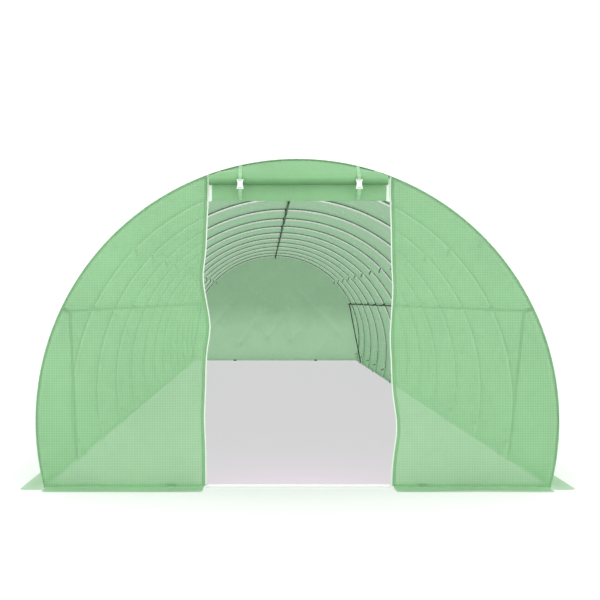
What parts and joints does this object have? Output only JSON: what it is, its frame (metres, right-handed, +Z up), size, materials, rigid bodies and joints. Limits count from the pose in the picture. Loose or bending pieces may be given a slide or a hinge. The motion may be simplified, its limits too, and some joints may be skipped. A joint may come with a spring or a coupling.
{
  "type": "walk-in tunnel greenhouse",
  "caption": "Long round-topped tunnel greenhouse of bolted steel tube under translucent green woven sheet, with a zipped roll-up door.",
  "frame": {"origin": "on the ground, at the middle of the tunnel's length and width", "axes": "+Z up, -Y out through the doorway, +Y along the tunnel to the back gable, +X to the right as seen from in front of the door"},
  "size_m": [3.2922, 12.294, 1.961],
  "materials": {
    "galvanised_tube": "satin",
    "dark_tube": "satin",
    "galvanised_fitting": "satin",
    "dark_fitting": "satin",
    "wing_screw": "satin",
    "bolt": "satin",
    "cover_sheet": "satin",
    "gable_sheet": "satin",
    "skirt_sheet": "satin",
    "door_sheet": "satin",
    "zip_tape": "matte",
    "zip_stop": "satin",
    "zip_metal": "polished",
    "strap_webbing": "matte",
    "buckle_plastic": "satin"
  },
  "bodies": {
    "greenhouse": {"hoop_01": "galvanised_tube", "hoop_02": "galvanised_tube", "hoop_03": "galvanised_tube", "hoop_04": "galvanised_tube", "hoop_05": "galvanised_tube", "hoop_06": "galvanised_tube", "hoop_07": "galvanised_tube", "hoop_08": "galvanised_tube", "hoop_09": "galvanised_tube", "hoop_10": "galvanised_tube", "hoop_11": "galvanised_tube", "hoop_12": "galvanised_tube", "hoop_13": "galvanised_tube", "base_tees": "galvanised_fitting", "base_corners": "galvanised_fitting", "base_rail_left": "galvanised_tube", "base_rail_right": "galvanised_tube", "base_rail_front": "galvanised_tube", "base_rail_back": "galvanised_tube", "rail_couplers": "dark_fitting", "ridge_pole": "dark_tube", "purlin_left": "dark_tube", "purlin_right": "dark_tube", "braces_front": "dark_tube", "braces_back": "dark_tube", "shoulder_clamps": "galvanised_fitting", "ridge_clamps": "dark_fitting", "purlin_clamps": "dark_fitting", "shoulder_screws": "wing_screw", "foot_screws": "wing_screw", "clamp_bolts": "bolt", "cover_sheet": "cover_sheet", "gable_front_left": "gable_sheet", "gable_front_right": "gable_sheet", "gable_back": "gable_sheet", "skirt_left": "skirt_sheet", "skirt_right": "skirt_sheet", "skirt_front": "skirt_sheet", "skirt_back": "skirt_sheet", "door_panel": "door_sheet", "door_zip_tapes": "zip_tape", "zip_tape_left": "zip_tape", "zip_tape_right": "zip_tape", "zip_stops": "zip_stop", "strap_front_left": "strap_webbing", "strap_front_right": "strap_webbing", "strap_tail_left": "strap_webbing", "strap_tail_right": "strap_webbing", "buckle_socket_left": "buckle_plastic", "buckle_socket_right": "buckle_plastic"},
    "door_roll": {"door_roll": "door_sheet"},
    "zip_slider_left": {"zip_slider_left": "zip_metal"},
    "zip_slider_right": {"zip_slider_right": "zip_metal"},
    "zip_pull_left": {"zip_pull_left": "zip_metal"},
    "zip_pull_right": {"zip_pull_right": "zip_metal"},
    "buckle_plug_left": {"buckle_plug_left": "buckle_plastic"},
    "buckle_plug_right": {"buckle_plug_right": "buckle_plastic"}
  },
  "joints": [
    {"name": "door_unroll", "type": "slide", "parent": "greenhouse", "child": "door_roll", "axis": [0, 0, -1], "range_m": [0, 1.785], "deforming": ["door_panel", "strap_tail_left", "strap_tail_right"]},
    {"name": "zip_left_slide", "type": "slide", "parent": "greenhouse", "child": "zip_slider_left", "axis": [-0.0069, 0, -1], "range_m": [0, 1.66]},
    {"name": "zip_right_slide", "type": "slide", "parent": "greenhouse", "child": "zip_slider_right", "axis": [0.0042, 0, -1], "range_m": [0, 1.66]},
    {"name": "zip_left_pull_swing", "type": "hinge", "parent": "zip_slider_left", "child": "zip_pull_left", "pos_m": [-0.53355, -6.0239, 1.6985], "axis": [-1, 0, 0], "range_deg": [0, 150]},
    {"name": "zip_right_pull_swing", "type": "hinge", "parent": "zip_slider_right", "child": "zip_pull_right", "pos_m": [0.55479, -6.0239, 1.6985], "axis": [-1, 0, 0], "range_deg": [0, 150]},
    {"name": "buckle_left_release", "type": "slide", "parent": "greenhouse", "child": "buckle_plug_left", "axis": [0, 0, -1], "range_m": [0, 0.03]},
    {"name": "buckle_right_release", "type": "slide", "parent": "greenhouse", "child": "buckle_plug_right", "axis": [0, 0, -1], "range_m": [0, 0.03]}
  ]
}
